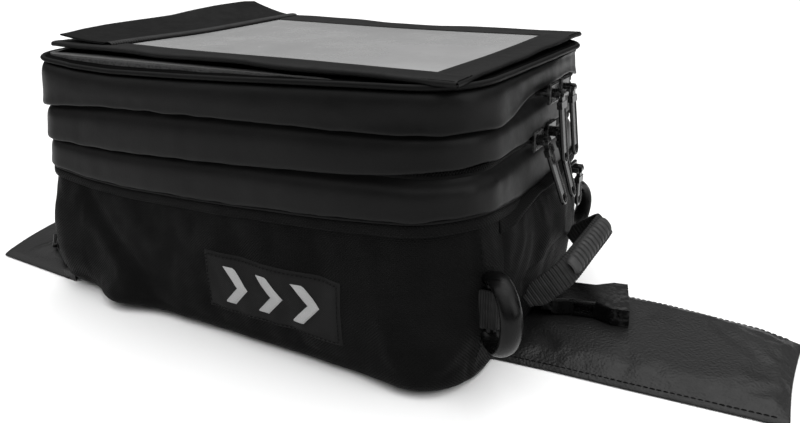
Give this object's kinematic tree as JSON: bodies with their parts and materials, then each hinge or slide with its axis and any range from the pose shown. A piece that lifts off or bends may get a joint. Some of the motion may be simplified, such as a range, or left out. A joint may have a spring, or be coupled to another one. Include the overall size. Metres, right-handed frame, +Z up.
{
  "type": "motorcycle tank bag",
  "caption": "Soft motorcycle tank bag with a zipped expansion section, zipped lid with a map case, carry handle, strap rings, buckle and magnetic tank flaps.",
  "frame": {"origin": "centre of the underside of the base panel, on the surface the bag stands on", "axes": "+Z up, +X along the bag towards the handle end, +Y towards the rear panel"},
  "size_m": [0.6268, 0.2639, 0.1931],
  "materials": {
    "nylon": "woven",
    "vinyl": "satin smooth",
    "piping": "satin",
    "flap_vinyl": "pebble grain",
    "window": "clear gloss",
    "hardware": "gloss black",
    "buckle_plastic": "gloss",
    "grip_rubber": "matt ribbed",
    "webbing": "ribbed weave",
    "zip_tape": "twill",
    "foam": "closed cell",
    "board": "matt",
    "lining": "plain weave",
    "badge": "woven patch",
    "badge_light": "satin stitch",
    "magnet": "nickel",
    "hook_tape": "hook and loop",
    "gusset": "coated nylon"
  },
  "bodies": {
    "bag_body": {"base_panel": "nylon", "base_board": "board", "base_foam": "foam", "front_panel": "nylon", "rear_panel": "nylon", "end_panel_right": "nylon", "end_panel_left": "nylon", "wall_foam": "foam", "inner_lining": "lining", "hem_piping": "piping", "lower_band": "vinyl", "expansion_zip_lower": "zip_tape", "badge_patch": "badge", "badge_chevrons": "badge_light", "end_pocket_panel": "nylon", "pocket_zip": "zip_tape", "pocket_hood": "nylon", "ring_tabs": "webbing", "handle_anchors": "webbing", "strap_anchor": "webbing", "flap_root_left": "flap_vinyl"},
    "expansion": {"expansion_gusset": "gusset", "expansion_zip_upper": "zip_tape", "upper_band": "vinyl", "lid_zip_lower": "zip_tape"},
    "lid": {"lid_zip_upper": "zip_tape", "lid_band": "vinyl", "lid_panel": "nylon", "lid_board": "board", "lid_foam": "foam", "lid_piping": "piping", "lid_hook_tape": "hook_tape"},
    "map_case": {"map_backing": "vinyl", "map_rim": "vinyl", "map_window": "window"},
    "map_flap": {"map_flap": "vinyl"},
    "carry_handle": {"handle_webbing": "webbing", "handle_grip": "grip_rubber"},
    "near_ring": {"strap_ring_near": "buckle_plastic"},
    "far_ring": {"strap_ring_far": "buckle_plastic"},
    "buckle": {"buckle_strap": "webbing", "buckle_socket": "buckle_plastic"},
    "right_flap": {"flap_right": "flap_vinyl", "magnets_right": "magnet"},
    "left_flap": {"flap_left": "flap_vinyl", "magnets_left": "magnet"},
    "near_front_loop": {"front_loop_strap_near": "webbing", "front_loop_ring_near": "buckle_plastic"},
    "far_front_loop": {"front_loop_strap_far": "webbing", "front_loop_ring_far": "buckle_plastic"},
    "lid_near_slider": {"slider_lid_near": "hardware"},
    "lid_near_pull": {"pull_lid_near": "hardware"},
    "lid_far_slider": {"slider_lid_far": "hardware"},
    "lid_far_pull": {"pull_lid_far": "hardware"},
    "expansion_near_slider": {"slider_expansion_near": "hardware"},
    "expansion_near_pull": {"pull_expansion_near": "hardware"},
    "expansion_far_slider": {"slider_expansion_far": "hardware"},
    "expansion_far_pull": {"pull_expansion_far": "hardware"},
    "pocket_slider": {"slider_pocket": "hardware"},
    "pocket_pull": {"pull_pocket": "hardware"}
  },
  "joints": [
    {"name": "expansion_rise", "type": "slide", "parent": "bag_body", "child": "expansion", "axis": [0, 0, 1], "range_m": [0, 0.05], "deforming": ["expansion_gusset"]},
    {"name": "lid_hinge", "type": "hinge", "parent": "expansion", "child": "lid", "pos_m": [-0.178, 0, 0.165], "axis": [0, -1, 0], "range_deg": [0, 110]},
    {"name": "map_case_hinge", "type": "hinge", "parent": "lid", "child": "map_case", "pos_m": [-0.1705, 0, 0.1873], "axis": [0, -1, 0], "range_deg": [0, 90]},
    {"name": "map_flap_hinge", "type": "hinge", "parent": "map_case", "child": "map_flap", "pos_m": [-0.1115, 0, 0.1931], "axis": [0, 1, 0], "range_deg": [0, 70]},
    {"name": "handle_swing", "type": "hinge", "parent": "bag_body", "child": "carry_handle", "pos_m": [0.1795, -0.03, 0.031], "axis": [0, -0.9976, -0.0698], "range_deg": [-18, 10]},
    {"name": "near_ring_swing", "type": "hinge", "parent": "bag_body", "child": "near_ring", "pos_m": [0.17696, -0.08271, 0.053], "axis": [0, 0, 1], "range_deg": [-8, 66]},
    {"name": "far_ring_swing", "type": "hinge", "parent": "bag_body", "child": "far_ring", "pos_m": [0.16422, 0.10522, 0.047], "axis": [0, 0, 1], "range_deg": [-60, 8]},
    {"name": "buckle_lift", "type": "hinge", "parent": "bag_body", "child": "buckle", "pos_m": [0.1755, 0.015, 0.0183], "axis": [0, -1, 0], "range_deg": [0, 22]},
    {"name": "right_flap_fold", "type": "hinge", "parent": "bag_body", "child": "right_flap", "pos_m": [0.1765, 0, 0], "axis": [0, -1, 0], "range_deg": [-80, 0]},
    {"name": "left_flap_fold", "type": "hinge", "parent": "bag_body", "child": "left_flap", "pos_m": [-0.1765, 0, 0], "axis": [0, 1, 0], "range_deg": [-80, 0]},
    {"name": "near_loop_lift", "type": "hinge", "parent": "bag_body", "child": "near_front_loop", "pos_m": [-0.178, -0.109, 0.0073], "axis": [0.4226, 0.9063, 0], "range_deg": [0, 50]},
    {"name": "far_loop_lift", "type": "hinge", "parent": "bag_body", "child": "far_front_loop", "pos_m": [-0.178, 0.109, 0.0073], "axis": [-0.4226, 0.9063, 0], "range_deg": [0, 50]},
    {"name": "lid_near_slide", "type": "slide", "parent": "expansion", "child": "lid_near_slider", "axis": [0, -1, 0], "range_m": [0, 0.032]},
    {"name": "lid_near_pull_swing", "type": "hinge", "parent": "lid_near_slider", "child": "lid_near_pull", "pos_m": [0.1876, 0, 0.165], "axis": [0, -1, 0], "range_deg": [0, 84]},
    {"name": "lid_far_slide", "type": "slide", "parent": "expansion", "child": "lid_far_slider", "axis": [0, 1, 0], "range_m": [0, 0.032]},
    {"name": "lid_far_pull_swing", "type": "hinge", "parent": "lid_far_slider", "child": "lid_far_pull", "pos_m": [0.1876, 0.023, 0.165], "axis": [0, -1, 0], "range_deg": [0, 84]},
    {"name": "expansion_near_slide", "type": "slide", "parent": "bag_body", "child": "expansion_near_slider", "axis": [0, -1, 0], "range_m": [0, 0.04]},
    {"name": "expansion_near_pull_swing", "type": "hinge", "parent": "expansion_near_slider", "child": "expansion_near_pull", "pos_m": [0.1836, -0.0145, 0.137], "axis": [0, -1, 0], "range_deg": [0, 75]},
    {"name": "expansion_far_slide", "type": "slide", "parent": "bag_body", "child": "expansion_far_slider", "axis": [0, 1, 0], "range_m": [0, 0.052]},
    {"name": "expansion_far_pull_swing", "type": "hinge", "parent": "expansion_far_slider", "child": "expansion_far_pull", "pos_m": [0.1836, 0.011, 0.137], "axis": [0, -1, 0], "range_deg": [0, 75]},
    {"name": "pocket_slide", "type": "slide", "parent": "bag_body", "child": "pocket_slider", "axis": [0, -1, 0], "range_m": [0, 0.066]},
    {"name": "pocket_pull_swing", "type": "hinge", "parent": "pocket_slider", "child": "pocket_pull", "pos_m": [0.1866, 0.058, 0.0985], "axis": [0, -1, 0], "range_deg": [0, 90]}
  ]
}
